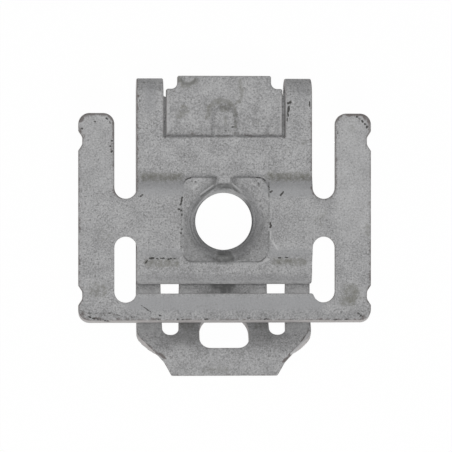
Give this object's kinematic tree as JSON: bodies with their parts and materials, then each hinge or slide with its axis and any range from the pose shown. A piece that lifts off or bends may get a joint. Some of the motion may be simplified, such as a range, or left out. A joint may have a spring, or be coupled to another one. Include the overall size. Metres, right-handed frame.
{
  "type": "clip nut",
  "caption": "Folded sheet-steel clip nut with a threaded collar in a raised winged plate, a slotted back leaf with a sprung tongue, and a stop tab in the fold.",
  "frame": {"origin": "on the bore axis, in the plane of the outer face of the back leaf, which the nut rests on", "axes": "+X across the strip towards the right wing, +Y towards the fold, +Z from the back leaf to the front leaf along the bore"},
  "size_m": [0.0336, 0.0346, 0.0054],
  "materials": {
    "steel": "dull grey phosphate coat with fine speckle, dark stains in the creases and light cut edges"
  },
  "bodies": {
    "root": {"clip_nut": "steel"}
  },
  "joints": []
}
